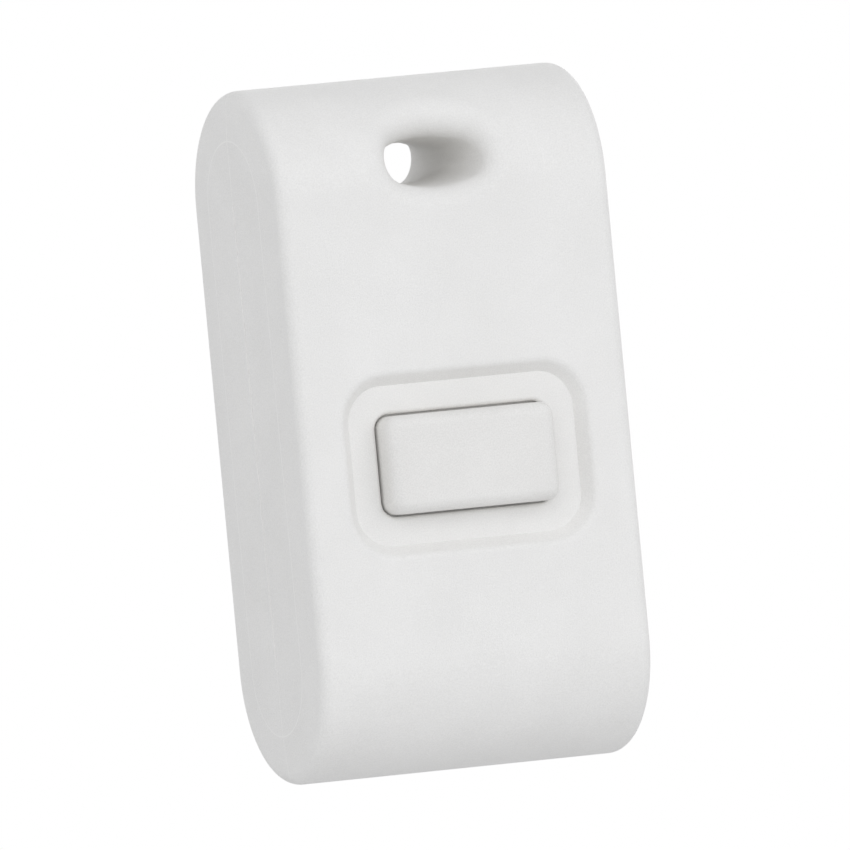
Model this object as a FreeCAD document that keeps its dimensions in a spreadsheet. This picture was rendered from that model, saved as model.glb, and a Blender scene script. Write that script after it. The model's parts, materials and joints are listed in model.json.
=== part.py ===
"""Wireless remote wall switch: a moulded two-part case with a hanging hole and one push button.

Frame: +Z up, the front faces -Y, the origin is the middle of the flat rear face.
"out" is the distance in front of that rear face, so a place at out has y = -out.
"""
import FreeCAD, Part
import os
import Sketcher
from math import acos, atan2, hypot, pi, tan
from FreeCAD import Vector

# Driving sizes in millimetres (slopes in degrees)
SIZES = {
    # case
    "body_height": 62.0,
    "body_width": 32.45,
    "body_depth": 20.4,
    "wall": 2.1,
    "shoulder_run": 4.4,
    "shoulder_drop": 0.3,
    "edge_round": 1.2,
    "seam_bevel": 0.12,
    "lip_height": 1.2,
    "lip_sheet": 0.9,
    "lip_corner": 1.0,
    "lip_gap": 0.1,
    # hanging hole
    "hole_from_top": 7.77,
    "hole_half_width": 4.2,
    "hole_half_height": 1.85,
    "hole_end_round": 1.35,
    "hole_draft": 3.5,
    "hole_flare": 2.0,
    "tube_wall": 1.7,
    # button and the recess round it
    "button_from_bottom": 27.56,
    "recess_width": 21.7,
    "recess_height": 14.28,
    "recess_corner": 3.3,
    "recess_depth": 1.2,
    "recess_slope": 40.0,
    "recess_round": 0.8,
    "rim_round": 0.4,
    "round_margin": 0.05,
    "cap_width": 16.18,
    "cap_height": 8.78,
    "cap_corner": 1.15,
    "cap_gap": 0.18,
    "cap_proud": 1.35,
    "cap_skin": 1.2,
    "cap_edge_round": 1.05,
    "cap_flange": 1.0,
    "cap_flange_lap": 1.0,
    "cap_post_diameter": 3.0,
    "cap_post_reach": 0.6,
    # tact switch
    "switch_side": 6.0,
    "switch_corner": 0.3,
    "switch_height": 5.0,
    "switch_base_height": 3.1,
    "switch_floor": 1.2,
    "switch_well_gap": 0.2,
    "cover_sheet": 0.3,
    "cover_gap": 0.15,
    "plunger_diameter": 3.4,
    "plunger_flange_diameter": 4.3,
    "plunger_flange": 0.6,
    "plunger_nub_diameter": 1.6,
    "dome_diameter": 4.2,
    "dome_crown_diameter": 2.0,
    "dome_rise": 0.45,
    "dome_sheet": 0.12,
    "switch_lead_pitch": 4.5,
    "switch_lead_width": 0.7,
    "switch_lead_rise": 0.8,
    # board and posts
    "board_sheet": 1.6,
    "board_gap": 0.8,
    "board_end_gap": 2.4,
    "board_corner": 1.0,
    "post_from_side": 5.5,
    "post_from_top": 17.0,
    "post_from_bottom": 14.0,
    "post_diameter": 5.0,
    "pin_diameter": 1.6,
    "pin_length": 1.4,
    "pin_gap": 0.15,
    # case screws
    "screw_diameter": 2.2,
    "screw_length": 8.0,
    "screw_tip": 0.8,
    "screw_head_diameter": 4.0,
    "screw_head": 1.4,
    "screw_slot_length": 2.4,
    "screw_slot_width": 0.5,
    "screw_slot_depth": 0.7,
    "screw_seat": 2.0,
    "screw_gap": 0.2,
    "screw_fit_gap": 0.05,
    "screw_well_gap": 0.3,
    "screw_well_wall": 1.0,
    # supply
    "cell_diameter": 20.0,
    "cell_sheet": 3.2,
    "cell_cap_diameter": 17.6,
    "cell_cap": 0.3,
    "cell_bevel": 0.4,
    "cell_below_middle": 2.0,
    "contact_diameter": 12.0,
    "contact_sheet": 0.2,
    "clip_sheet": 0.4,
    "clip_width": 8.0,
    "clip_gap": 0.15,
    "clip_foot": 1.5,
    # transmitter
    "lead_sheet": 0.2,
    "lead_shoulder": 0.3,
    "lead_foot": 0.7,
    "chip_width": 3.9,
    "chip_height": 4.9,
    "chip_sheet": 1.5,
    "chip_standoff": 0.1,
    "chip_above_middle": 10.5,
    "chip_lead_pitch": 1.27,
    "chip_lead_width": 0.4,
    "chip_lead_rise": 0.7,
    "saw_width": 5.0,
    "saw_height": 3.5,
    "saw_sheet": 1.1,
    "saw_lid": 0.3,
    "saw_lid_margin": 0.4,
    "saw_from_middle": 8.4,
    "saw_above_middle": 3.6,
    "transistor_width": 1.3,
    "transistor_height": 2.9,
    "transistor_sheet": 1.0,
    "transistor_from_middle": 8.6,
    "transistor_below_middle": 4.0,
    "transistor_lead_offset": 0.95,
    "transistor_lead_rise": 0.45,
    "antenna_post_gap": 1.3,
    "antenna_end_gap": 2.2,
    "antenna_height": 12.6,
    "antenna_corner": 2.0,
    "antenna_track": 1.0,
    "antenna_sheet": 0.1,
    "chip_part_length": 1.6,
    "chip_part_width": 0.8,
    "capacitor_sheet": 0.8,
    "resistor_sheet": 0.45,
    "row_pitch": 2.0,
    "row_from_middle": 7.4,
    "capacitor_row_above_middle": 6.4,
    "resistor_row_below_middle": 0.4,
}

# Places and derived sizes, each a formula on the driving sizes
PLACES = {
    "half_height": "dims.body_height / 2",
    "half_depth": "dims.body_depth / 2",
    "half_width": "dims.body_width / 2",
    "bend": "half_height - half_depth",
    "straight": "2 * bend",
    "seam_half_width": "half_width - dims.seam_bevel",
    "shoulder_start": "half_depth - dims.shoulder_run",
    "shoulder_half_width": "half_width - dims.shoulder_drop",
    "inner_half_height": "half_height - dims.wall",
    "inner_half_depth": "half_depth - dims.wall",
    "inner_half_width": "half_width - dims.wall - dims.shoulder_drop",
    "inner_front": "dims.body_depth - dims.wall",
    "lip_half_width": "inner_half_width + dims.lip_sheet",
    "lip_half_height": "inner_half_height + dims.lip_sheet",
    "lip_outer_corner": "dims.lip_corner + dims.lip_sheet",
    "groove_half_width": "lip_half_width + dims.lip_gap",
    "groove_half_height": "lip_half_height + dims.lip_gap",
    "groove_corner": "lip_outer_corner + dims.lip_gap",
    "groove_depth": "dims.lip_height + dims.lip_gap",
    "hole_up": "half_height - dims.hole_from_top",
    "hole_end_place": "dims.hole_half_width - dims.hole_end_round",
    "hole_side_round": "(dims.hole_half_width ^ 2 + dims.hole_half_height ^ 2"
                       " - 2 * dims.hole_half_width * dims.hole_end_round)"
                       " / (2 * (dims.hole_half_height - dims.hole_end_round))",
    "tube_half_width": "dims.hole_half_width + dims.tube_wall",
    "tube_width": "2 * tube_half_width",
    "tube_low": "hole_up - dims.hole_half_height - dims.tube_wall",
    "side_cavity": "inner_half_width - tube_half_width",
    "button_down": "half_height - dims.button_from_bottom",
    "recess_half_width": "dims.recess_width / 2",
    "recess_half_height": "dims.recess_height / 2",
    "recess_floor": "dims.body_depth - dims.recess_depth",
    "rim_edge": "min(dims.rim_round; dims.wall - dims.recess_depth - dims.round_margin)",
    "opening_half_width": "cap_half_width + dims.cap_gap",
    "opening_half_height": "cap_half_height + dims.cap_gap",
    "opening_corner": "dims.cap_corner + dims.cap_gap",
    "cap_half_width": "dims.cap_width / 2",
    "cap_half_height": "dims.cap_height / 2",
    "cap_flange_half_width": "cap_half_width + dims.cap_flange_lap",
    "cap_flange_half_height": "cap_half_height + dims.cap_flange_lap",
    "cap_flange_corner": "dims.cap_corner + dims.cap_flange_lap",
    "cap_edge": "min(dims.cap_edge_round; dims.cap_corner - dims.round_margin)",
    "cap_top": "dims.body_depth + dims.cap_proud",
    "cap_low": "inner_front - dims.cap_flange",
    "cap_length": "cap_top - cap_low",
    "cap_hollow": "cap_length - dims.cap_skin",
    "cap_hollow_half_width": "cap_half_width - dims.cap_skin",
    "cap_hollow_half_height": "cap_half_height - dims.cap_skin",
    "cap_hollow_corner": "dims.cap_corner / 2",
    "cap_post_low": "cap_low - dims.cap_post_reach",
    "cap_post": "cap_hollow + dims.cap_post_reach",
    "board_front": "cap_post_low - dims.switch_height",
    "board_rear": "board_front - dims.board_sheet",
    "board_half_width": "inner_half_width - dims.board_gap",
    "board_high": "tube_low - dims.board_gap",
    "board_low": "inner_half_height - dims.board_end_gap",
    "board_half_height": "(board_high + board_low) / 2",
    "board_middle": "(board_high - board_low) / 2",
    "switch_half": "dims.switch_side / 2",
    "switch_well_diameter": "dims.plunger_flange_diameter + 2 * dims.switch_well_gap",
    "switch_well": "dims.switch_base_height - dims.switch_floor",
    "cover_hole_diameter": "dims.plunger_diameter + 2 * dims.cover_gap",
    "plunger_radius": "dims.plunger_diameter / 2",
    "plunger_flange_radius": "dims.plunger_flange_diameter / 2",
    "plunger_flange_low": "dims.switch_base_height - dims.plunger_flange",
    "plunger_nub_radius": "dims.plunger_nub_diameter / 2",
    "dome_radius": "dims.dome_diameter / 2",
    "dome_crown_radius": "dims.dome_crown_diameter / 2",
    "dome_foot": "dims.switch_floor + dims.dome_sheet",
    "dome_under": "dims.switch_floor + dims.dome_rise",
    "dome_top": "dome_under + dims.dome_sheet",
    "post_out": "half_width - dims.post_from_side",
    "post_up": "half_height - dims.post_from_top",
    "post_down": "half_height - dims.post_from_bottom",
    "front_post": "inner_front - board_front",
    "rear_post": "board_rear - dims.wall",
    "pin_low": "board_front - dims.pin_length",
    "board_pin_diameter": "dims.pin_diameter + 2 * dims.pin_gap",
    "screw_radius": "dims.screw_diameter / 2",
    "screw_head_radius": "dims.screw_head_diameter / 2",
    "screw_grip": "dims.screw_length - dims.screw_tip",
    "screw_seat_out": "board_rear - dims.screw_seat",
    "screw_hole_diameter": "dims.screw_diameter + 2 * dims.screw_gap",
    "screw_pilot_diameter": "dims.screw_diameter + 2 * dims.screw_fit_gap",
    "screw_pilot": "dims.screw_length - dims.screw_seat - dims.board_sheet + dims.screw_gap",
    "screw_well_diameter": "dims.screw_head_diameter + 2 * dims.screw_well_gap",
    "screw_post_diameter": "screw_well_diameter + 2 * dims.screw_well_wall",
    "screw_head_out": "screw_seat_out - dims.screw_head",
    "screw_slot_half_length": "dims.screw_slot_length / 2",
    "screw_slot_half_width": "dims.screw_slot_width / 2",
    "cell_radius": "dims.cell_diameter / 2",
    "cell_bevel_radius": "cell_radius - dims.cell_bevel",
    "cell_cap_radius": "dims.cell_cap_diameter / 2",
    "cell_can": "dims.cell_sheet - dims.cell_cap",
    "cell_stack": "dims.contact_sheet + dims.cell_sheet",
    "cell_out": "board_rear - cell_stack",
    "contact_out": "board_rear - dims.contact_sheet",
    "clip_inside": "cell_radius + dims.clip_gap",
    "clip_outside": "clip_inside + dims.clip_sheet",
    "clip_toe": "clip_outside + dims.clip_foot",
    "clip_top": "cell_stack + dims.clip_sheet",
    "chip_half_width": "dims.chip_width / 2",
    "chip_half_height": "dims.chip_height / 2",
    "chip_out": "board_front + dims.chip_standoff",
    "saw_half_width": "dims.saw_width / 2",
    "saw_half_height": "dims.saw_height / 2",
    "saw_lid_out": "board_front + dims.saw_sheet",
    "saw_lid_half_width": "saw_half_width - dims.saw_lid_margin",
    "saw_lid_half_height": "saw_half_height - dims.saw_lid_margin",
    "transistor_half_width": "dims.transistor_width / 2",
    "transistor_half_height": "dims.transistor_height / 2",
    "antenna_half_width": "post_out - dims.post_diameter / 2 - dims.antenna_post_gap",
    "antenna_half_height": "dims.antenna_height / 2",
    "antenna_down": "board_low - dims.antenna_end_gap - antenna_half_height",
    "antenna_inner_half_width": "antenna_half_width - dims.antenna_track",
    "antenna_inner_half_height": "antenna_half_height - dims.antenna_track",
    "antenna_inner_corner": "dims.antenna_corner - dims.antenna_track",
    "switch_well_out": "board_front + dims.switch_floor",
    "switch_cover_out": "board_front + dims.switch_base_height",
    "switch_lead_high": "dims.switch_lead_pitch / 2 - button_down",
    "switch_lead_low": "-dims.switch_lead_pitch / 2 - button_down",
    "transistor_lead_high": "dims.transistor_lead_offset - dims.transistor_below_middle",
    "transistor_lead_low": "-dims.transistor_lead_offset - dims.transistor_below_middle",
}
CHIP_LEADS_PER_SIDE = 4
CAPACITORS = 4
RESISTORS = 3
CHIP_LEAD_ROWS = [f"chip_lead_row_{i}" for i in range(CHIP_LEADS_PER_SIDE)]
for i, row in enumerate(CHIP_LEAD_ROWS):
    steps = i - (CHIP_LEADS_PER_SIDE - 1) / 2
    PLACES[row] = f"dims.chip_above_middle + {steps} * dims.chip_lead_pitch"
for flank in ("switch_half", "chip_half_width", "transistor_half_width"):
    PLACES[f"{flank}_heel"] = f"{flank} + dims.lead_shoulder"
    PLACES[f"{flank}_knee"] = f"{flank}_heel + dims.lead_sheet"
    PLACES[f"{flank}_toe"] = f"{flank}_knee + dims.lead_foot"
for rise in ("switch_lead_rise", "chip_lead_rise", "transistor_lead_rise"):
    PLACES[f"{rise}_over"] = f"dims.{rise} + dims.lead_sheet"

TOUCH = 1e-3
doc = FreeCAD.newDocument("remote_switch")


# The two sheets and how they are read
def fill_sheet(name, cells):
    sheet = doc.addObject("Spreadsheet::Sheet", name)
    for row, (alias, content) in enumerate(cells.items(), 1):
        sheet.set(f"A{row}", alias)
        sheet.set(f"B{row}", content)
        sheet.setAlias(f"B{row}", alias)
    doc.recompute()
    return sheet


dims = fill_sheet("dims", {alias: str(value) for alias, value in SIZES.items()})
places = fill_sheet("places", {alias: f"={formula}" for alias, formula in PLACES.items()})


def num(token):
    """The number behind a name; a leading minus turns its sign."""
    name = token.lstrip("-")
    value = float((dims if name in SIZES else places).get(name))
    return -value if token.startswith("-") else value


def ref(token):
    """The expression that binds to a name; a leading minus turns its sign."""
    name = token.lstrip("-")
    sign = "-" if token.startswith("-") else ""
    return f"{sign}{'dims' if name in SIZES else 'places'}.{name}"


# Sketches
def plane_of(body, role):
    return next(f for f in body.Origin.OriginFeatures if f.Role == role)


def sketch_on(body, role, x=None, y=None, z=None):
    """A sketch on an origin plane, moved along the plane's own axes by named distances."""
    sketch = body.newObject("Sketcher::SketchObject", f"{body.Label}_sketch")
    sketch.AttachmentSupport = [(plane_of(body, role), "")]
    sketch.MapMode = "FlatFace"
    for axis, token in (("x", x), ("y", y), ("z", z)):
        if token:
            sketch.setExpression(f"AttachmentOffset.Base.{axis}", ref(token))
    return sketch


def front_sketch(body, out, x=None, up=None):
    """A sketch parallel to the front, at a distance out from the rear face."""
    return sketch_on(body, "XZ_Plane", x=x, y=up, z=out)


def limit(sketch, kind, *picks, token):
    """A dimension of the sketch, bound to a named size."""
    index = sketch.addConstraint(Sketcher.Constraint(kind, *picks, abs(num(token))))
    sketch.setExpression(f"Constraints[{index}]", ref(token.lstrip("-")))


def pin_point(sketch, geometry, point, u=None, v=None):
    """Ties a point to named distances from the sketch's origin; "0" puts it on the axis."""
    for kind, axis, token in (("DistanceX", -2, u), ("DistanceY", -1, v)):
        if token == "0":
            sketch.addConstraint(Sketcher.Constraint("PointOnObject", geometry, point, axis))
        elif token:
            ends = (geometry, point, -1, 1) if token.startswith("-") else (-1, 1, geometry, point)
            limit(sketch, kind, *ends, token=token)


def value_of(token):
    return 0.0 if token == "0" else num(token)


def polygon(sketch, points):
    corners = [Vector(value_of(u), value_of(v), 0) for u, v in points]
    count = len(corners)
    lines = [
        sketch.addGeometry(Part.LineSegment(corners[i], corners[(i + 1) % count])) for i in range(count)
    ]
    for i, (u, v) in enumerate(points):
        sketch.addConstraint(Sketcher.Constraint("Coincident", lines[i - 1], 2, lines[i], 1))
        pin_point(sketch, lines[i], 1, u, v)


def circle(sketch, diameter):
    index = sketch.addGeometry(Part.Circle(Vector(), Vector(0, 0, 1), num(diameter) / 2))
    sketch.addConstraint(Sketcher.Constraint("Coincident", index, 3, -1, 1))
    limit(sketch, "Diameter", index, token=diameter)


def arc(sketch, centre, radius, start, end):
    return sketch.addGeometry(Part.ArcOfCircle(Part.Circle(centre, Vector(0, 0, 1), radius), start, end))


def quarter_arc(sketch, centre, radius, quarter):
    """A quarter circle from an angle given in quarter turns."""
    return arc(sketch, centre, radius, quarter * pi / 2, (quarter + 1) * pi / 2)


def oval(sketch, half_u, half_v, end_radius, side_radius, end_place):
    """An oval on the sketch's origin: tight arcs at its two ends, wide ones along its sides."""
    u, v, tight, wide, place = (num(token) for token in (half_u, half_v, end_radius, side_radius, end_place))
    turn = atan2(wide - v, u - tight)
    arcs = [
        arc(sketch, Vector(place, 0, 0), tight, -turn, turn),
        arc(sketch, Vector(0, v - wide, 0), wide, turn, pi - turn),
        arc(sketch, Vector(-place, 0, 0), tight, pi - turn, pi + turn),
        arc(sketch, Vector(0, wide - v, 0), wide, pi + turn, 2 * pi - turn),
    ]
    for i, radius in enumerate((end_radius, side_radius, end_radius, side_radius)):
        sketch.addConstraint(Sketcher.Constraint("Tangent", arcs[i], 2, arcs[(i + 1) % 4], 1))
        limit(sketch, "Radius", arcs[i], token=radius)
    pin_point(sketch, arcs[0], 3, end_place, "0")
    pin_point(sketch, arcs[2], 3, f"-{end_place}", "0")


def rounded_rect(sketch, half_u, half_v, radius):
    """A rectangle on the sketch's origin with round corners."""
    u, v, r = num(half_u), num(half_v), num(radius)
    ends = (
        (Vector(u, r - v, 0), Vector(u, v - r, 0)),
        (Vector(u - r, v, 0), Vector(r - u, v, 0)),
        (Vector(-u, v - r, 0), Vector(-u, r - v, 0)),
        (Vector(r - u, -v, 0), Vector(u - r, -v, 0)),
    )
    signs = ((1, 1), (-1, 1), (-1, -1), (1, -1))
    centres = [Vector(su * (u - r), sv * (v - r), 0) for su, sv in signs]
    lines = [sketch.addGeometry(Part.LineSegment(*pair)) for pair in ends]
    arcs = [quarter_arc(sketch, centre, r, quarter) for quarter, centre in enumerate(centres)]
    for i in range(4):
        sketch.addConstraint(Sketcher.Constraint("Tangent", lines[i], 2, arcs[i], 1))
        sketch.addConstraint(Sketcher.Constraint("Tangent", arcs[i], 2, lines[(i + 1) % 4], 1))
        sketch.addConstraint(Sketcher.Constraint("Horizontal" if i % 2 else "Vertical", lines[i]))
        limit(sketch, "Radius", arcs[i], token=radius)
    pin_point(sketch, lines[0], 1, half_u)
    pin_point(sketch, lines[1], 1, None, half_v)
    pin_point(sketch, lines[2], 1, f"-{half_u}")
    pin_point(sketch, lines[3], 1, None, f"-{half_v}")


def half_stadium(sketch, half_length, radius, side, flat_top=None):
    """Half of a slot outline: a straight seam on the sketch's second axis and quarter circles at its ends.

    The outline bulges to the side of the first axis that side gives. With flat_top the
    upper end is cut off square at that height.
    """
    length, r = num(half_length), num(radius)
    top = num(flat_top) if flat_top else length
    bend = length - r
    low_quarter = 2 if side < 0 else 3
    seam = sketch.addGeometry(Part.LineSegment(Vector(0, -length, 0), Vector(0, top, 0)))
    low_arc = quarter_arc(sketch, Vector(0, -bend, 0), r, low_quarter)
    face_top = top if flat_top else bend
    face = sketch.addGeometry(Part.LineSegment(Vector(side * r, face_top, 0), Vector(side * r, -bend, 0)))
    seam_end, face_end = (2, 1) if side < 0 else (1, 2)
    pin_point(sketch, seam, 1, "0", f"-{half_length}")
    pin_point(sketch, seam, 2, "0", flat_top or half_length)
    limit(sketch, "Radius", low_arc, token=radius)
    sketch.addConstraint(Sketcher.Constraint("PointOnObject", low_arc, 3, -2))
    sketch.addConstraint(Sketcher.Constraint("Coincident", low_arc, seam_end, seam, 1))
    sketch.addConstraint(Sketcher.Constraint("Tangent", face, 2, low_arc, face_end))
    if flat_top:
        cap = sketch.addGeometry(Part.LineSegment(Vector(0, top, 0), Vector(side * r, top, 0)))
        sketch.addConstraint(Sketcher.Constraint("Coincident", cap, 1, seam, 2))
        sketch.addConstraint(Sketcher.Constraint("Coincident", cap, 2, face, 1))
        sketch.addConstraint(Sketcher.Constraint("Horizontal", cap))
        sketch.addConstraint(Sketcher.Constraint("Vertical", face))
        return
    high_arc = quarter_arc(sketch, Vector(0, bend, 0), r, 1 if side < 0 else 0)
    limit(sketch, "Radius", high_arc, token=radius)
    sketch.addConstraint(Sketcher.Constraint("PointOnObject", high_arc, 3, -2))
    sketch.addConstraint(Sketcher.Constraint("Coincident", high_arc, 3 - seam_end, seam, 2))
    sketch.addConstraint(Sketcher.Constraint("Tangent", face, 1, high_arc, 3 - face_end))


# Features
def new_body(label):
    body = doc.addObject("PartDesign::Body", label)
    body.Label = label
    return body


def pad(body, sketch, length, symmetric=False):
    feature = body.newObject("PartDesign::Pad", f"{body.Label}_pad")
    feature.Profile = sketch
    feature.SideType = "Symmetric" if symmetric else "One side"
    feature.setExpression("Length", ref(length))
    doc.recompute()
    return feature


def pocket(body, sketch, length=None, forward=True, symmetric=False, taper=None):
    """A cut along the sketch's normal (forward) or against it; without a length it goes right through."""
    before = body.Shape.Volume
    feature = body.newObject("PartDesign::Pocket", f"{body.Label}_pocket")
    feature.Profile = sketch
    feature.SideType = "Symmetric" if symmetric else "One side"
    feature.Reversed = forward
    if length:
        feature.setExpression("Length", ref(length))
    else:
        feature.Type = "ThroughAll"
    if taper:
        feature.setExpression("TaperAngle", ref(taper))
    doc.recompute()
    if not body.Shape.Volume < before:
        raise RuntimeError(f"{feature.Label} cuts nothing")
    return feature


def fillet(body, test, radius):
    """Rounds every edge whose box passes the test."""
    base = body.Tip
    names = [f"Edge{i}" for i, edge in enumerate(base.Shape.Edges, 1) if test(edge.BoundBox)]
    if not names:
        raise RuntimeError(f"{body.Label} has no edge to round")
    feature = body.newObject("PartDesign::Fillet", f"{body.Label}_fillet")
    feature.Base = (base, names)
    feature.setExpression("Radius", ref(radius))
    doc.recompute()


def revolve(body, sketch, axis="V_Axis", angle=360, reverse=False):
    feature = body.newObject("PartDesign::Revolution", f"{body.Label}_turn")
    feature.Profile = sketch
    feature.ReferenceAxis = (sketch, [axis])
    feature.Angle = angle
    feature.Reversed = reverse
    doc.recompute()


def mirror_across_middle(body, feature):
    mirrored = body.newObject("PartDesign::Mirrored", f"{body.Label}_mirrored")
    mirrored.Originals = [feature]
    mirrored.MirrorPlane = (plane_of(body, "YZ_Plane"), [""])
    body.Tip = mirrored
    doc.recompute()


def group(label, pieces):
    compound = doc.addObject("Part::Compound", label)
    compound.Label = label
    compound.Links = pieces
    return compound


def near(value, goal):
    return abs(value - goal) < TOUCH


def on_front_level(box, out):
    return near(box.YMin, -out) and near(box.YMax, -out)


def within(box, half_u, half_v, up):
    reach_u, reach_v = half_u + TOUCH, half_v + TOUCH
    return max(-box.XMin, box.XMax) < reach_u and up - reach_v < box.ZMin and box.ZMax < up + reach_v


def clear_of_edges(box):
    """True for what lies inside the flat part of the front."""
    return within(box, num("half_width") - 2 * num("edge_round"), num("bend") - num("edge_round"), 0)


# The moulded case
def half_section(sketch, side):
    """Section across one half of the case: seam, side walls with sloped shoulders, round edges and face."""
    width, depth, r = num("half_width"), num("half_depth"), num("edge_round")
    run, drop = num("shoulder_run"), num("shoulder_drop")
    slope_length = hypot(run, drop)
    cut = r * tan(acos(drop / slope_length) / 2)
    corner_u = num("shoulder_half_width")
    tilt = atan2(drop, run)
    sign = "-" if side < 0 else ""

    def at(flank, u, v):
        return Vector(flank * u, side * v, 0)

    seam_u, bevel, start = num("seam_half_width"), num("seam_bevel"), num("shoulder_start")
    seam = sketch.addGeometry(Part.LineSegment(at(-1, seam_u, 0), at(1, seam_u, 0)))
    face = sketch.addGeometry(Part.LineSegment(at(-1, corner_u - cut, depth), at(1, corner_u - cut, depth)))
    sketch.addConstraint(Sketcher.Constraint("Horizontal", face))
    pin_point(sketch, face, 1, None, f"{sign}half_depth")
    for flank in (1, -1):
        end = 2 if flank > 0 else 1
        hand = "" if flank > 0 else "-"
        corners = [at(flank, seam_u, 0), at(flank, width, bevel), at(flank, width, start),
                   at(flank, corner_u + cut * drop / slope_length, depth - cut * run / slope_length)]
        lines = [sketch.addGeometry(Part.LineSegment(*pair)) for pair in zip(corners, corners[1:])]
        turns_forward = flank * side > 0
        face_angle, wall_angle = side * pi / 2, side * tilt
        if flank < 0:
            wall_angle = side * (pi - tilt)
        angles = (wall_angle, face_angle) if turns_forward else (face_angle, wall_angle)
        curve = arc(sketch, at(flank, corner_u - cut, depth - r), r, *angles)
        wall_end, face_end = (1, 2) if turns_forward else (2, 1)
        corner = sketch.addGeometry(Part.Point(at(flank, corner_u, depth)), True)
        sketch.addConstraint(Sketcher.Constraint("Coincident", seam, end, lines[0], 1))
        sketch.addConstraint(Sketcher.Constraint("Coincident", lines[0], 2, lines[1], 1))
        sketch.addConstraint(Sketcher.Constraint("Coincident", lines[1], 2, lines[2], 1))
        sketch.addConstraint(Sketcher.Constraint("PointOnObject", corner, 1, lines[2]))
        sketch.addConstraint(Sketcher.Constraint("Tangent", lines[2], 2, curve, wall_end))
        sketch.addConstraint(Sketcher.Constraint("Tangent", curve, face_end, face, end))
        limit(sketch, "Radius", curve, token="edge_round")
        pin_point(sketch, lines[0], 1, f"{hand}seam_half_width", "0")
        pin_point(sketch, lines[1], 1, f"{hand}half_width", f"{sign}seam_bevel")
        pin_point(sketch, lines[2], 1, f"{hand}half_width", f"{sign}shoulder_start")
        pin_point(sketch, corner, 1, f"{hand}shoulder_half_width", f"{sign}half_depth")


def case_half(label, side):
    """Outside of one half of the case, from the seam to the front (side -1) or the rear (side 1)."""
    body = new_body(label)
    middle = sketch_on(body, "XY_Plane", y="-half_depth")
    half_section(middle, side)
    pad(body, middle, "straight", symmetric=True)
    for end in (1, -1):
        section = sketch_on(body, "XY_Plane", y="-half_depth", z="bend" if end > 0 else "-bend")
        half_section(section, side)
        revolve(body, section, "H_Axis", 90, reverse=end * side < 0)
    hang_hole(body, side)
    return body


def hang_hole(body, side):
    """The oval hole widens from the seam, with its rim rounded over far enough to make a trumpet mouth."""
    neck = front_sketch(body, "half_depth", up="hole_up")
    oval(neck, "hole_half_width", "hole_half_height", "hole_end_round", "hole_side_round", "hole_end_place")
    pocket(body, neck, forward=side < 0, length="half_depth", taper="hole_draft")
    seam, up = num("half_depth"), num("hole_up")
    reach_u, reach_v = (num(f"hole_half_{way}") + num("hole_flare") for way in ("width", "height"))
    fillet(
        body,
        lambda box: within(box, reach_u, reach_v, up) and (box.YMax + seam) * (box.YMin + seam) > TOUCH,
        "hole_flare",
    )


def hollow(body, side):
    """Cuts the inside out, leaving a solid block round the hanging hole."""
    middle = sketch_on(body, "YZ_Plane", x="-half_depth")
    half_stadium(middle, "inner_half_height", "inner_half_depth", side, flat_top="tube_low")
    pocket(body, middle, "tube_width", symmetric=True)
    flank = sketch_on(body, "YZ_Plane", x="-half_depth", z="tube_half_width")
    half_stadium(flank, "inner_half_height", "inner_half_depth", side)
    mirror_across_middle(body, pocket(body, flank, "side_cavity"))


SCREW_PLACES = (("post_out", "post_up"), ("-post_out", "-post_down"))
PIN_PLACES = (("-post_out", "post_up"), ("post_out", "-post_down"))


def round_posts(body, spots, diameter, out, length):
    for x, up in spots:
        sketch = front_sketch(body, out, x, up)
        circle(sketch, diameter)
        pad(body, sketch, length)


def round_holes(body, spots, diameter, out, length=None):
    for x, up in spots:
        sketch = front_sketch(body, out, x, up)
        circle(sketch, diameter)
        pocket(body, sketch, length)


def seam_ring(body, half_u, half_v, corner):
    """The band between a rounded rectangle and the edge of the inside, in the seam's plane."""
    ring = front_sketch(body, "half_depth")
    rounded_rect(ring, half_u, half_v, corner)
    rounded_rect(ring, "inner_half_width", "inner_half_height", "lip_corner")
    return ring


def front_shell():
    body = case_half("front_shell", -1)
    front, floor, down = num("body_depth"), num("recess_floor"), -num("button_down")
    recess = front_sketch(body, "recess_floor", up="-button_down")
    rounded_rect(recess, "recess_half_width", "recess_half_height", "recess_corner")
    pocket(body, recess, "recess_depth", taper="recess_slope")
    fillet(body, lambda box: on_front_level(box, front) and clear_of_edges(box), "recess_round")
    hollow(body, -1)
    opening = front_sketch(body, "half_depth", up="-button_down")
    rounded_rect(opening, "opening_half_width", "opening_half_height", "opening_corner")
    pocket(body, opening)
    reach_u, reach_v = num("opening_half_width"), num("opening_half_height")
    fillet(body, lambda box: on_front_level(box, floor) and within(box, reach_u, reach_v, down), "rim_edge")
    pocket(body, seam_ring(body, "groove_half_width", "groove_half_height", "groove_corner"), "groove_depth")
    round_posts(body, SCREW_PLACES + PIN_PLACES, "post_diameter", "board_front", "front_post")
    round_posts(body, PIN_PLACES, "pin_diameter", "pin_low", "pin_length")
    round_holes(body, SCREW_PLACES, "screw_pilot_diameter", "board_front", "screw_pilot")
    return body


def rear_shell():
    body = case_half("rear_shell", 1)
    hollow(body, 1)
    pad(body, seam_ring(body, "lip_half_width", "lip_half_height", "lip_outer_corner"), "lip_height")
    round_posts(body, SCREW_PLACES, "screw_post_diameter", "wall", "rear_post")
    round_posts(body, PIN_PLACES, "post_diameter", "wall", "rear_post")
    round_holes(body, SCREW_PLACES, "screw_well_diameter", None, "screw_seat_out")
    round_holes(body, SCREW_PLACES, "screw_hole_diameter", None)
    return body


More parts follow.
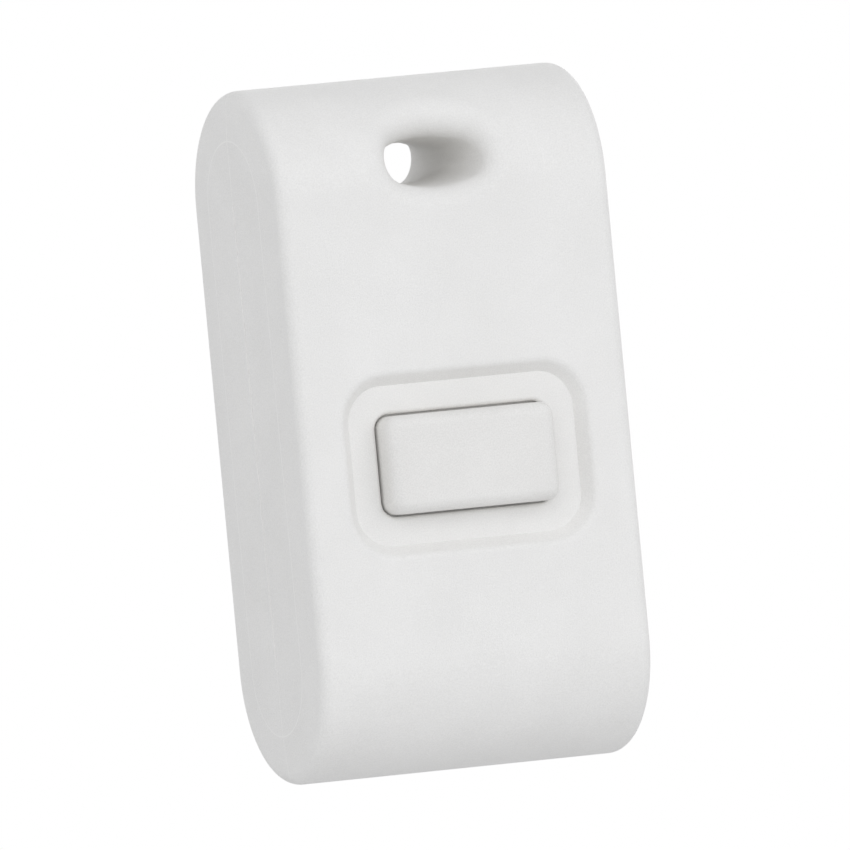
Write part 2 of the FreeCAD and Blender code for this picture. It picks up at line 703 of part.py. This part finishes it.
# The push button
def button_cap():
    """A hollow cap with round edges, a flange that stops it behind the wall and a post for the switch."""
    body = new_body("button_cap")
    outline = front_sketch(body, "cap_low", up="-button_down")
    rounded_rect(outline, "cap_half_width", "cap_half_height", "cap_corner")
    pad(body, outline, "cap_length")
    top = num("cap_top")
    fillet(body, lambda box: on_front_level(box, top), "cap_edge")
    flange = front_sketch(body, "cap_low", up="-button_down")
    rounded_rect(flange, "cap_flange_half_width", "cap_flange_half_height", "cap_flange_corner")
    pad(body, flange, "cap_flange")
    inside = front_sketch(body, "cap_low", up="-button_down")
    rounded_rect(inside, "cap_hollow_half_width", "cap_hollow_half_height", "cap_hollow_corner")
    pocket(body, inside, "cap_hollow")
    post = front_sketch(body, "cap_post_low", up="-button_down")
    circle(post, "cap_post_diameter")
    pad(body, post, "cap_post")
    return body


# The tact switch
def plate(label, out, half_u, half_v, corner, sheet, x=None, up=None):
    body = new_body(label)
    sketch = front_sketch(body, out, x, up)
    rounded_rect(sketch, half_u, half_v, corner)
    pad(body, sketch, sheet)
    return body


def switch_base():
    body = plate(
        "switch_base", "board_front", "switch_half", "switch_half", "switch_corner", "switch_base_height",
        up="-button_down",
    )
    well = front_sketch(body, "switch_well_out", up="-button_down")
    circle(well, "switch_well_diameter")
    pocket(body, well, "switch_well")
    return body


def switch_cover():
    body = new_body("switch_cover")
    sketch = front_sketch(body, "switch_cover_out", up="-button_down")
    rounded_rect(sketch, "switch_half", "switch_half", "switch_corner")
    circle(sketch, "cover_hole_diameter")
    pad(body, sketch, "cover_sheet")
    return body


def turned(label, points, out, x=None, up=None):
    """A turned piece: its outline is given as radius and distance from out, minus towards the front."""
    body = new_body(label)
    sketch = sketch_on(body, "XY_Plane", x=x, y=f"-{out}", z=up)
    polygon(sketch, points)
    revolve(body, sketch)
    return body


def switch_dome():
    return turned("switch_dome", (
        ("0", "-dome_under"), ("0", "-dome_top"), ("dome_crown_radius", "-dome_top"),
        ("dome_radius", "-dome_foot"), ("dome_radius", "-switch_floor"), ("dome_crown_radius", "-dome_under"),
    ), "board_front", up="-button_down")


def switch_plunger():
    return turned("switch_plunger", (
        ("0", "-switch_height"), ("plunger_radius", "-switch_height"),
        ("plunger_radius", "-switch_base_height"), ("plunger_flange_radius", "-switch_base_height"),
        ("plunger_flange_radius", "-plunger_flange_low"), ("plunger_nub_radius", "-plunger_flange_low"),
        ("plunger_nub_radius", "-dome_top"), ("0", "-dome_top"),
    ), "board_front", up="-button_down")


# Boards, leads and small parts
def circuit_board():
    body = plate(
        "circuit_board", "board_rear", "board_half_width", "board_half_height", "board_corner", "board_sheet",
        up="board_middle",
    )
    round_holes(body, SCREW_PLACES, "screw_hole_diameter", None)
    round_holes(body, PIN_PLACES, "board_pin_diameter", None)
    return body


def lead(label, side, half_width, rise, width, x, up):
    """One gull-wing lead that leaves a package's flank at a rise and stands on the board."""
    body = new_body(label)
    sketch = sketch_on(body, "XY_Plane", x=x, y="-board_front", z=up)
    sign = "-" if side < 0 else ""
    polygon(sketch, [(f"{sign}{u}", v) for u, v in (
        (half_width, f"-{rise}"), (half_width, f"-{rise}_over"),
        (f"{half_width}_knee", f"-{rise}_over"), (f"{half_width}_knee", "-lead_sheet"),
        (f"{half_width}_toe", "-lead_sheet"), (f"{half_width}_toe", "0"),
        (f"{half_width}_heel", "0"), (f"{half_width}_heel", f"-{rise}"),
    )])
    pad(body, sketch, width, symmetric=True)
    return body


def lead_group(label, half_width, rise, width, x, spots):
    return group(label, [
        lead(f"{label}_{i}", side, half_width, rise, width, x, up) for i, (side, up) in enumerate(spots)
    ])


def saw_resonator():
    body = plate(
        "saw_resonator", "board_front", "saw_half_width", "saw_half_height", "switch_corner", "saw_sheet",
        "-saw_from_middle", "saw_above_middle",
    )
    lid = front_sketch(body, "saw_lid_out", "-saw_from_middle", "saw_above_middle")
    rounded_rect(lid, "saw_lid_half_width", "saw_lid_half_height", "switch_corner")
    pad(body, lid, "saw_lid")
    return body


def antenna_loop():
    body = new_body("antenna_loop")
    sketch = front_sketch(body, "board_front", up="-antenna_down")
    rounded_rect(sketch, "antenna_half_width", "antenna_half_height", "antenna_corner")
    rounded_rect(sketch, "antenna_inner_half_width", "antenna_inner_half_height", "antenna_inner_corner")
    pad(body, sketch, "antenna_sheet")
    return body


def chip_row(label, count, sheet, up):
    """A row of small chip parts standing on the front of the board, spaced downwards."""
    boxes = []
    for i in range(count):
        box = doc.addObject("Part::Box", f"{label}_{i}")
        box.setExpression("Length", ref("chip_part_length"))
        box.setExpression("Width", ref(sheet))
        box.setExpression("Height", ref("chip_part_width"))
        box.setExpression("Placement.Base.x", ref("row_from_middle"))
        box.setExpression("Placement.Base.y", f"-places.board_front - {ref(sheet)}")
        box.setExpression("Placement.Base.z", f"{ref(up)} - {i} * dims.row_pitch")
        boxes.append(box)
    return group(label, boxes)


# Supply
def coin_cell():
    return turned("coin_cell", (
        ("0", "0"), ("cell_bevel_radius", "0"), ("cell_radius", "-cell_bevel"), ("cell_radius", "-cell_can"),
        ("cell_cap_radius", "-cell_can"), ("cell_cap_radius", "-cell_sheet"), ("0", "-cell_sheet"),
    ), "cell_out", up="-cell_below_middle")


def battery_contact():
    body = new_body("battery_contact")
    sketch = front_sketch(body, "contact_out", up="-cell_below_middle")
    circle(sketch, "contact_diameter")
    pad(body, sketch, "contact_sheet")
    return body


def battery_clip():
    """A sheet bridge over the cell, bent like a hat, with its feet on the board."""
    body = new_body("battery_clip")
    sketch = sketch_on(body, "XY_Plane", y="-board_rear", z="-cell_below_middle")
    right = (
        ("clip_inside", "cell_stack"), ("clip_inside", "0"), ("clip_toe", "0"), ("clip_toe", "clip_sheet"),
        ("clip_outside", "clip_sheet"), ("clip_outside", "clip_top"),
    )
    left = [(f"-{u}", v) for u, v in reversed(right)]
    polygon(sketch, [*right, *left])
    pad(body, sketch, "clip_width", symmetric=True)
    return body


def case_screw(label, x, up):
    """A self-tapping screw with a pan head and a cross recess."""
    body = turned(label, (
        ("0", "screw_head"), ("screw_head_radius", "screw_head"), ("screw_head_radius", "0"),
        ("screw_radius", "0"), ("screw_radius", "-screw_grip"), ("0", "-screw_length"),
    ), "screw_seat_out", x, up)
    arms = ("screw_slot_half_length", "screw_slot_half_width")
    for half_u, half_v in (arms, arms[::-1]):
        slot = front_sketch(body, "screw_head_out", x, up)
        polygon(slot, [(half_u, half_v), (f"-{half_u}", half_v),
                       (f"-{half_u}", f"-{half_v}"), (half_u, f"-{half_v}")])
        pocket(body, slot, "screw_slot_depth")
    return body


# The whole switch
def build():
    switch_spots = [(side, row) for row in ("switch_lead_high", "switch_lead_low") for side in (1, -1)]
    chip_spots = [(side, row) for row in CHIP_LEAD_ROWS for side in (1, -1)]
    transistor_spots = (
        (1, "transistor_lead_high"), (1, "transistor_lead_low"), (-1, "-transistor_below_middle"),
    )
    return [
        front_shell(),
        rear_shell(),
        button_cap(),
        switch_base(),
        switch_cover(),
        switch_dome(),
        switch_plunger(),
        lead_group(
            "switch_terminals", "switch_half", "switch_lead_rise", "switch_lead_width", None, switch_spots,
        ),
        circuit_board(),
        coin_cell(),
        battery_contact(),
        battery_clip(),
        plate(
            "encoder_chip", "chip_out", "chip_half_width", "chip_half_height", "switch_corner", "chip_sheet",
            up="chip_above_middle",
        ),
        lead_group("encoder_leads", "chip_half_width", "chip_lead_rise", "chip_lead_width", None, chip_spots),
        saw_resonator(),
        plate(
            "rf_transistor", "chip_out", "transistor_half_width", "transistor_half_height", "switch_corner",
            "transistor_sheet", "-transistor_from_middle", "-transistor_below_middle",
        ),
        lead_group(
            "transistor_leads", "transistor_half_width", "transistor_lead_rise", "chip_lead_width",
            "-transistor_from_middle", transistor_spots,
        ),
        antenna_loop(),
        chip_row("chip_capacitors", CAPACITORS, "capacitor_sheet", "capacitor_row_above_middle"),
        chip_row("chip_resistors", RESISTORS, "resistor_sheet", "-resistor_row_below_middle"),
        group("case_screws", [case_screw(f"case_screw_{i}", *spot) for i, spot in enumerate(SCREW_PLACES)]),
    ]


def check(parts):
    doc.recompute()
    failed = [thing.Label for thing in doc.Objects if {"Invalid", "Error"} & set(thing.State)]
    failed += [part.Label for part in parts if part.Shape.isNull() or not part.Shape.isValid()]
    if failed:
        raise RuntimeError(f"these did not build: {failed}")


def export(parts):
    os.makedirs("parts", exist_ok=True)
    for part in parts:
        part.Shape.exportStep(f"parts/{part.Label}.step")


parts = build()
check(parts)
export(parts)
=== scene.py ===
"""Looks of the wireless remote wall switch: white moulded plastic under large soft lights.

Metres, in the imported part's frame: +Z up, the front faces -Y, and the origin is the middle
of the rear face. Texture scales are in cells per metre. Tones are linear, with alpha.
"""
import json
from math import cos, radians, sin

import bpy
from mathutils import Matrix, Vector

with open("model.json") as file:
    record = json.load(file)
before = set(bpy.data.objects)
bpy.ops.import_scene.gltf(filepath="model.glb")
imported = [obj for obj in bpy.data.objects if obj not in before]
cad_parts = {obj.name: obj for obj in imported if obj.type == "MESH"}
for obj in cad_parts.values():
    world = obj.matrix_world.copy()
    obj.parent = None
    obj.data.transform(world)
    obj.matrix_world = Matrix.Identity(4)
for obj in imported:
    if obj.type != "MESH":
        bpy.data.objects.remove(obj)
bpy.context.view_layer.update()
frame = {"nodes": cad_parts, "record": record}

# View of the photograph
BODY_CENTRE = Vector((0, -0.0102, 0))
VIEW_YAW = radians(22.5)
VIEW_PITCH = radians(0.487)
VIEW_ROLL = radians(-5.389)
VIEW_DISTANCE = 2.5
FRAME_WIDTH = 0.0758
FRAME_SHIFT = (0.000221, -0.000188)
SENSOR = 36.0

# Textures: the range that noise mostly stays in, and its octaves
MIDDLE = (0.3, 0.7)
WHOLE = (0, 1)
PLAIN_DETAIL = 2
RICH_DETAIL = 3
MIX_FIRST, MIX_SECOND, MIX_RESULT = 6, 7, 2  # colour sockets of the mix node

# White plastic
PLASTIC_SPECULAR = 0.4
CLOUD_SCALE = 160
GRAIN_SCALE = 7500
CLOUDS_AND_GRAIN = (-1, 2)
DUST_TONE = (0.36, 0.35, 0.34, 1)
DUST_SCALE = 210
DUST_FADE = (0.016, 0.03)
DUST_RARITY = (0.78, 0.8)

# Painted highlight lines on the case, at the shoulder and along the seam past the bends, from the
# model's own sizes
SEAM_DEPTH = 0.0102
BEND_HEIGHT = 0.0208
SHOULDER_REACH = 0.0058
SIDE_START = 0.0155
LINE_FADE = (0.00004, 0.00008)
PAINTED_HIGHLIGHT_TONE = (0.927, 0.917, 0.892, 1)

# Dark line in the seam, partly dirt and partly painted shade: in patches, and fainter below and
# above the stated heights
DIRT_AND_SHADE_TONE = (0.5, 0.48, 0.45, 1)
SEAM_DARK_PATCH_SCALE = 1600
SEAM_DARK_PATCHES = (0.52, 0.66)
SEAM_DARK_FROM = (-0.01, 0.005)
SEAM_DARK_TO = (0.018, 0.021)
SEAM_DARK_LEFT_BELOW = 0.1
SEAM_DARK_LEFT_ABOVE = 0.15

# Light: each lamp's place from the middle of the object, its side and its power in watts
BACKGROUND = (1, 1, 1, 1)
AMBIENT = (0.55, 0.556, 0.57, 1)
LAMP_COLOUR = (0.99, 1, 1.025)
LIGHTS = {
    "key_light": ((0.55, -1.0, 0.35), 1.0, 3.5),
    "high_fill": ((-0.5, -0.95, 0.5), 0.8, 2.4),
    "side_fill": ((-1.15, -0.25, 0.1), 0.9, 1.3),
    "rear_light": ((0.75, 0.95, 0.2), 1.0, 2.2),
}

# Floor
FLOOR_LEVEL = -0.055
FLOOR_HALF = 0.3
FLOOR_CORNERS = ((-1, -1), (1, -1), (1, 1), (-1, 1))
FLOOR_LIFT = 0.2
FLOOR_ROUGHNESS = 0.9
FLOOR_CLOUD_SCALE = 30
FLOOR_LIGHT = (0.9, 0.9, 0.9, 1)
FLOOR_DARK = (0.88, 0.88, 0.88, 1)


# Nodes
def node(tree, kind, inputs=None, **settings):
    """A new node; its inputs are given as numbers or as the sockets that feed them."""
    made = tree.nodes.new(kind)
    for name, value in settings.items():
        setattr(made, name, value)
    for name, value in (inputs or {}).items():
        if isinstance(value, bpy.types.NodeSocket):
            tree.links.new(value, made.inputs[name])
        else:
            made.inputs[name].default_value = value
    return made


def noise(tree, place, scale, detail=PLAIN_DETAIL):
    inputs = {"Vector": place, "Scale": scale, "Detail": detail}
    return node(tree, "ShaderNodeTexNoise", inputs).outputs[0]


def spread(tree, value, low, high, between=MIDDLE):
    """Maps a range of a value, by default a texture's middle, onto the numbers from low to high."""
    start, end = between
    made = node(
        tree, "ShaderNodeMapRange",
        {"Value": value, "From Min": start, "From Max": end, "To Min": low, "To Max": high},
    )
    return made.outputs[0]


def calc(tree, operation, first, second=0.0):
    return node(tree, "ShaderNodeMath", {0: first, 1: second}, operation=operation).outputs[0]


def tone_mix(tree, share, first, second):
    inputs = {"Factor": share, MIX_FIRST: first, MIX_SECOND: second}
    return node(tree, "ShaderNodeMix", inputs, data_type="RGBA").outputs[MIX_RESULT]


def surface(name, **constants):
    """Makes a material; gives it, its tree, its one shader and the object's own coordinates."""
    material = bpy.data.materials.new(name)
    material.use_nodes = True
    tree = material.node_tree
    shader = tree.nodes["Principled BSDF"]
    for socket, value in constants.items():
        shader.inputs[socket.replace("_", " ")].default_value = value
    place = node(tree, "ShaderNodeTexCoord").outputs["Object"]
    return material, tree, shader, place


def bump(tree, shader, height, depth):
    made = node(tree, "ShaderNodeBump", {"Height": height, "Distance": depth})
    tree.links.new(made.outputs[0], shader.inputs["Normal"])


# Materials
def case_lines(tree, place, tone):
    """Painted highlight lines where the sides start to slope and along the seam past the bends, and
    a dark line in the seam that is partly dirt and partly painted shade.
    """
    axes = node(tree, "ShaderNodeSeparateXYZ", {"Vector": place}).outputs
    off = calc(tree, "ABSOLUTE", calc(tree, "ADD", axes["Y"], SEAM_DEPTH))
    height = calc(tree, "ABSOLUTE", axes["Z"])
    past_bend = calc(tree, "MAXIMUM", calc(tree, "SUBTRACT", height, BEND_HEIGHT))
    squares = [calc(tree, "POWER", leg, 2) for leg in (off, past_bend)]
    reach = calc(tree, "SQRT", calc(tree, "ADD", *squares))
    from_shoulder = calc(tree, "ABSOLUTE", calc(tree, "SUBTRACT", reach, SHOULDER_REACH))
    on_side = calc(tree, "GREATER_THAN", calc(tree, "ABSOLUTE", axes["X"]), SIDE_START)
    seam, shoulder = (spread(tree, gap, 1, 0, LINE_FADE) for gap in (off, from_shoulder))
    seam_end = calc(tree, "MULTIPLY", seam, calc(tree, "GREATER_THAN", past_bend))
    # Painted highlight: a lighter line on the sides along the shoulder and along the seam past the
    # bends
    painted_highlight = calc(tree, "MULTIPLY", calc(tree, "MAXIMUM", shoulder, seam_end), on_side)
    tone = tone_mix(tree, painted_highlight, tone, PAINTED_HIGHLIGHT_TONE)
    # Dark line along the seam: patchy dirt and painted shade, strongest between the stated heights
    # on the upper half of the side
    seam_dirt_and_shade = calc(
        tree, "MULTIPLY", seam, spread(tree, noise(tree, place, SEAM_DARK_PATCH_SCALE), 0, 1, SEAM_DARK_PATCHES)
    )
    seam_dirt_and_shade = calc(tree, "MULTIPLY", seam_dirt_and_shade, spread(tree, axes["Z"], SEAM_DARK_LEFT_BELOW, 1, SEAM_DARK_FROM))
    seam_dirt_and_shade = calc(tree, "MULTIPLY", seam_dirt_and_shade, spread(tree, axes["Z"], 1, SEAM_DARK_LEFT_ABOVE, SEAM_DARK_TO))
    return tone_mix(tree, seam_dirt_and_shade, tone, DIRT_AND_SHADE_TONE)


def white_plastic(name, light, dark, roughness, grain_depth, lines=False):
    """Moulded plastic: faint clouds in the tone, a spark-eroded grain and a few dust specks."""
    material, tree, shader, place = surface(name, Specular_IOR_Level=PLASTIC_SPECULAR)
    clouds = spread(tree, noise(tree, place, CLOUD_SCALE, RICH_DETAIL), 0, 1)
    grain = noise(tree, place, GRAIN_SCALE)
    share = calc(tree, "ADD", clouds, spread(tree, grain, -1, 1))
    tone = tone_mix(tree, spread(tree, share, 0, 1, CLOUDS_AND_GRAIN), light, dark)
    if lines:
        # Painted highlight lines, and the seam's dark line of dirt and painted shade
        tone = case_lines(tree, place, tone)
    cells = node(tree, "ShaderNodeTexVoronoi", {"Vector": place, "Scale": DUST_SCALE}).outputs
    dust = spread(tree, cells["Distance"], 1, 0, DUST_FADE)
    rare = spread(tree, cells["Color"], 0, 1, DUST_RARITY)
    speck = calc(tree, "MULTIPLY", dust, rare)
    tree.links.new(tone_mix(tree, speck, tone, DUST_TONE), shader.inputs["Base Color"])
    tree.links.new(spread(tree, grain, *roughness), shader.inputs["Roughness"])
    bump(tree, shader, grain, grain_depth)
    return material


def dark_plastic(name, light, dark, roughness, cloud_scale, grain_scale, grain_depth):
    material, tree, shader, place = surface(name)
    clouds = spread(tree, noise(tree, place, cloud_scale, RICH_DETAIL), 0, 1)
    tree.links.new(tone_mix(tree, clouds, dark, light), shader.inputs["Base Color"])
    grain = noise(tree, place, grain_scale)
    tree.links.new(spread(tree, grain, *roughness), shader.inputs["Roughness"])
    bump(tree, shader, grain, grain_depth)
    return material


def board_laminate(name, mask, track, roughness, cloud_scale, net_scale, track_edge, track_depth):
    """Green solder mask over a faint net of copper tracks."""
    material, tree, shader, place = surface(name)
    net = node(
        tree, "ShaderNodeTexVoronoi", {"Vector": place, "Scale": net_scale},
        distance="MANHATTAN", feature="DISTANCE_TO_EDGE",
    )
    copper = spread(tree, net.outputs["Distance"], 1, 0, track_edge)
    tree.links.new(tone_mix(tree, copper, mask, track), shader.inputs["Base Color"])
    clouds = noise(tree, place, cloud_scale)
    tree.links.new(spread(tree, clouds, *roughness), shader.inputs["Roughness"])
    bump(tree, shader, copper, track_depth)
    return material


def fired_ceramic(name, light, dark, roughness, cloud_scale, depth):
    material, tree, shader, place = surface(name)
    clouds = spread(tree, noise(tree, place, cloud_scale, RICH_DETAIL), 0, 1)
    tree.links.new(tone_mix(tree, clouds, dark, light), shader.inputs["Base Color"])
    tree.links.new(spread(tree, clouds, *roughness, WHOLE), shader.inputs["Roughness"])
    bump(tree, shader, clouds, depth)
    return material


def sheet_metal(name, light, dark, roughness, stretch, depth=0.000004):
    """Rolled metal: the tone and gloss vary along fine lines drawn out in one direction."""
    material, tree, shader, place = surface(name, Metallic=1.0)
    drawn = node(tree, "ShaderNodeMapping", {"Vector": place, "Scale": stretch}).outputs[0]
    lines = spread(tree, noise(tree, drawn, 1, RICH_DETAIL), 0, 1)
    tree.links.new(tone_mix(tree, lines, light, dark), shader.inputs["Base Color"])
    tree.links.new(spread(tree, lines, *roughness, WHOLE), shader.inputs["Roughness"])
    bump(tree, shader, lines, depth)
    return material


LOOKS = {
    "case_plastic": white_plastic(
        "case_plastic", light=(0.9145, 0.9045, 0.8815, 1), dark=(0.8195, 0.8095, 0.7865, 1),
        roughness=(0.53, 0.63), grain_depth=0.000026, lines=True,
    ),
    "button_plastic": white_plastic(
        "button_plastic", light=(0.891, 0.879, 0.853, 1), dark=(0.771, 0.759, 0.733, 1),
        roughness=(0.45, 0.55), grain_depth=0.00002,
    ),
    "black_plastic": dark_plastic(
        "black_plastic", light=(0.035, 0.034, 0.034, 1), dark=(0.022, 0.022, 0.023, 1),
        roughness=(0.42, 0.6), cloud_scale=900, grain_scale=9000, grain_depth=0.00002,
    ),
    "board_laminate": board_laminate(
        "board_laminate", mask=(0.03, 0.16, 0.07, 1), track=(0.06, 0.26, 0.11, 1),
        roughness=(0.25, 0.4), cloud_scale=700, net_scale=420,
        track_edge=(0.04, 0.07), track_depth=0.00003,
    ),
    "chip_ceramic": fired_ceramic(
        "chip_ceramic", light=(0.5, 0.39, 0.27, 1), dark=(0.42, 0.32, 0.22, 1),
        roughness=(0.35, 0.5), cloud_scale=2400, depth=0.00001,
    ),
    "steel_sheet": sheet_metal(
        "steel_sheet", light=(0.64, 0.64, 0.65, 1), dark=(0.55, 0.55, 0.56, 1),
        roughness=(0.24, 0.38), stretch=(400, 6000, 6000),
    ),
    "tinned_leads": sheet_metal(
        "tinned_leads", light=(0.72, 0.72, 0.73, 1), dark=(0.62, 0.62, 0.63, 1),
        roughness=(0.28, 0.42), stretch=(3000, 3000, 800),
    ),
    "brass_contact": sheet_metal(
        "brass_contact", light=(0.77, 0.57, 0.3, 1), dark=(0.68, 0.49, 0.24, 1),
        roughness=(0.24, 0.38), stretch=(500, 6000, 6000),
    ),
}


def dress_nodes():
    """Gives each node of the frame the material of its slot in the record."""
    for part in frame["record"]["subparts"]:
        mesh = frame["nodes"][part["node"]].data
        mesh.materials.clear()
        mesh.materials.append(LOOKS[part["material_slot"]])


# Stage
def add_floor():
    """A pale floor, lifted towards white for the camera alone."""
    mesh = bpy.data.meshes.new("floor")
    corners = [(x * FLOOR_HALF, y * FLOOR_HALF, FLOOR_LEVEL) for x, y in FLOOR_CORNERS]
    mesh.from_pydata(corners, [], [(0, 1, 2, 3)])
    floor = bpy.data.objects.new("floor", mesh)
    bpy.context.scene.collection.objects.link(floor)
    material, tree, shader, place = surface("floor", Roughness=FLOOR_ROUGHNESS)
    clouds = spread(tree, noise(tree, place, FLOOR_CLOUD_SCALE), 0, 1)
    tone = tone_mix(tree, clouds, FLOOR_LIGHT, FLOOR_DARK)
    tree.links.new(tone, shader.inputs["Base Color"])
    seen = node(tree, "ShaderNodeLightPath").outputs["Is Camera Ray"]
    tree.links.new(calc(tree, "MULTIPLY", seen, FLOOR_LIFT), shader.inputs["Emission Strength"])
    shader.inputs["Emission Color"].default_value = BACKGROUND
    mesh.materials.append(material)


def add_world():
    """White where the camera or a reflection sees it, and a softer level for the light it gives."""
    world = bpy.data.worlds.new("studio")
    world.use_nodes = True
    tree = world.node_tree
    path = node(tree, "ShaderNodeLightPath").outputs
    seen = path["Is Camera Ray"]
    for other in ("Is Glossy Ray", "Is Transmission Ray"):
        seen = calc(tree, "MAXIMUM", seen, path[other])
    tone = tone_mix(tree, seen, AMBIENT, BACKGROUND)
    tree.links.new(tone, tree.nodes["Background"].inputs["Color"])
    bpy.context.scene.world = world


def add_light(name, place, side, power):
    """A square soft light that faces the middle of the object."""
    lamp = bpy.data.lights.new(name, "AREA")
    lamp.size = side
    lamp.energy = power
    lamp.color = LAMP_COLOUR
    light = bpy.data.objects.new(name, lamp)
    light.location = BODY_CENTRE + Vector(place)
    light.rotation_mode = "QUATERNION"
    light.rotation_quaternion = Vector(place).to_track_quat("Z", "Y")
    bpy.context.scene.collection.objects.link(light)


def add_camera():
    """A distant camera to the left of the front, rolled as the photograph is."""
    flat = cos(VIEW_PITCH)
    back = Vector((-sin(VIEW_YAW) * flat, -cos(VIEW_YAW) * flat, sin(VIEW_PITCH)))
    level = Vector((cos(VIEW_YAW), -sin(VIEW_YAW), 0))
    upright = back.cross(level)
    right = cos(VIEW_ROLL) * level + sin(VIEW_ROLL) * upright
    up = cos(VIEW_ROLL) * upright - sin(VIEW_ROLL) * level
    spot = BODY_CENTRE + FRAME_SHIFT[0] * right + FRAME_SHIFT[1] * up + VIEW_DISTANCE * back
    camera = bpy.data.objects.new("camera", bpy.data.cameras.new("camera"))
    camera.data.sensor_width = SENSOR
    camera.data.lens = SENSOR * VIEW_DISTANCE / FRAME_WIDTH
    turn = Matrix((right, up, back)).transposed().to_4x4()
    camera.matrix_world = Matrix.Translation(spot) @ turn
    bpy.context.scene.collection.objects.link(camera)
    bpy.context.scene.camera = camera


dress_nodes()
add_floor()
add_world()
for light_name, (light_place, light_side, light_power) in LIGHTS.items():
    add_light(light_name, light_place, light_side, light_power)
add_camera()
bpy.context.scene.view_settings.view_transform = "Standard"
